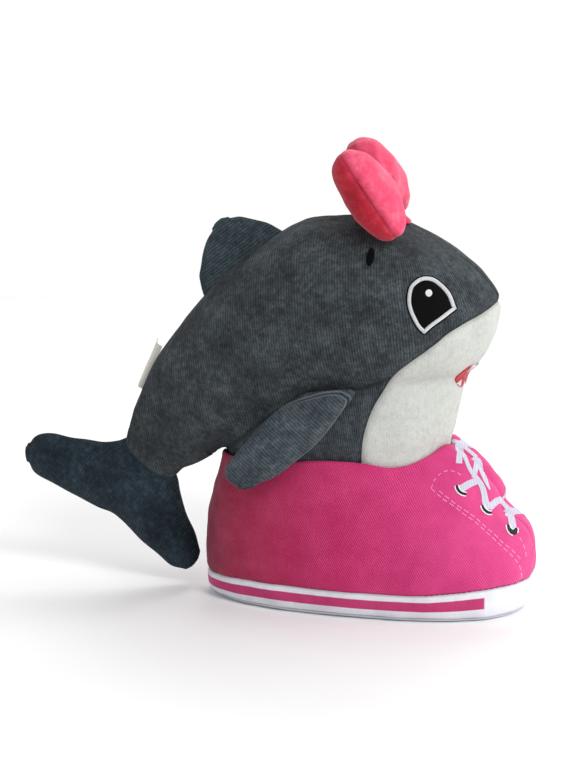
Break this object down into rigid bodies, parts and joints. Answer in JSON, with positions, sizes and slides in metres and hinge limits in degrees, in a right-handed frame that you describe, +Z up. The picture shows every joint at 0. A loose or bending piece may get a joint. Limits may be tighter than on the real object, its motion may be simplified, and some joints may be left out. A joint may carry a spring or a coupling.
{
  "type": "plush shark",
  "caption": "Stuffed toy shark standing upright in a stuffed high-top sneaker, with hinged sewn fins, tail fin, bow and care label.",
  "frame": {"origin": "middle of the flat outsole, on the surface it stands on", "axes": "+X the way the shark and sneaker point, +Y the shark's left, +Z up"},
  "size_m": [0.2629, 0.106, 0.2276],
  "materials": {
    "plush_grey": "short-pile plush, fine ribs",
    "plush_grey_low": "short-pile plush, finer ribs",
    "plush_cream": "short-pile plush",
    "cloth_pink": "printed twill-pattern cloth",
    "cloth_foxing": "printed smooth cloth",
    "cloth_sole": "smooth cloth",
    "fibre_fill": "polyester fibre",
    "pellet_cloth": "cotton pouch of plastic pellets",
    "satin_white": "satin stitch",
    "satin_black": "satin stitch",
    "satin_red": "satin stitch",
    "velvet_pink": "velvet",
    "label_cloth": "woven satin tape"
  },
  "bodies": {
    "body": {"body_filling": "fibre_fill", "belly_panel": "plush_cream", "lower_side_panel_right": "plush_grey_low", "lower_side_panel_left": "plush_grey_low", "body_side_panel_right": "plush_grey", "body_side_panel_left": "plush_grey", "outsole": "cloth_sole", "foxing_band": "cloth_foxing", "shoe_upper_right": "cloth_pink", "shoe_upper_left": "cloth_pink", "pellet_bag": "pellet_cloth", "shoe_filling": "fibre_fill", "eye_rim_right": "satin_white", "eye_fill_right": "satin_black", "eye_glint_right": "satin_white", "brow_right": "satin_black", "eye_rim_left": "satin_white", "eye_fill_left": "satin_black", "eye_glint_left": "satin_white", "brow_left": "satin_black", "mouth_red": "satin_red", "mouth_teeth": "satin_white"},
    "dorsal_fin": {"dorsal_fin_skin_right": "plush_grey", "dorsal_fin_skin_left": "plush_grey", "dorsal_fin_filling": "fibre_fill"},
    "tail_fin": {"tail_fin_skin_right": "plush_grey", "tail_fin_skin_left": "plush_grey", "tail_fin_filling": "fibre_fill"},
    "pectoral_right": {"pectoral_right_skin_outer": "plush_grey", "pectoral_right_skin_inner": "plush_grey", "pectoral_right_filling": "fibre_fill"},
    "pectoral_left": {"pectoral_left_skin_outer": "plush_grey", "pectoral_left_skin_inner": "plush_grey", "pectoral_left_filling": "fibre_fill"},
    "bow": {"bow_knot": "velvet_pink", "bow_cover_right": "velvet_pink", "bow_filling_right": "fibre_fill", "bow_cover_left": "velvet_pink", "bow_filling_left": "fibre_fill"},
    "care_label": {"care_label": "label_cloth"}
  },
  "joints": [
    {"name": "dorsal_fin_flex", "type": "hinge", "parent": "body", "child": "dorsal_fin", "pos_m": [-0.09129, 0, 0.15606], "axis": [0.7948, 0, 0.6069], "range_deg": [-30, 30], "stiffness_Nm_per_rad": 0.02},
    {"name": "tail_fin_wag", "type": "hinge", "parent": "body", "child": "tail_fin", "pos_m": [-0.1278, 0, 0.0746], "axis": [0.7967, 0, -0.6044], "range_deg": [-30, 30], "stiffness_Nm_per_rad": 0.08},
    {"name": "pectoral_right_lift", "type": "hinge", "parent": "body", "child": "pectoral_right", "pos_m": [-0.001, -0.0424, 0.1126], "axis": [-0.9873, 0, -0.1588], "range_deg": [0, 75], "stiffness_Nm_per_rad": 0.02},
    {"name": "pectoral_left_lift", "type": "hinge", "parent": "body", "child": "pectoral_left", "pos_m": [-0.001, 0.0424, 0.1126], "axis": [0.9873, 0, 0.1588], "range_deg": [0, 75], "stiffness_Nm_per_rad": 0.02},
    {"name": "bow_tilt", "type": "hinge", "parent": "body", "child": "bow", "pos_m": [0.0105, 0, 0.1953], "axis": [0, 1, 0], "range_deg": [0, 20], "stiffness_Nm_per_rad": 0.08},
    {"name": "care_label_flip", "type": "hinge", "parent": "body", "child": "care_label", "pos_m": [-0.1106, 0, 0.1249], "axis": [-0.4369, 0, -0.8995], "range_deg": [-104, 8], "stiffness_Nm_per_rad": 0.0001}
  ]
}
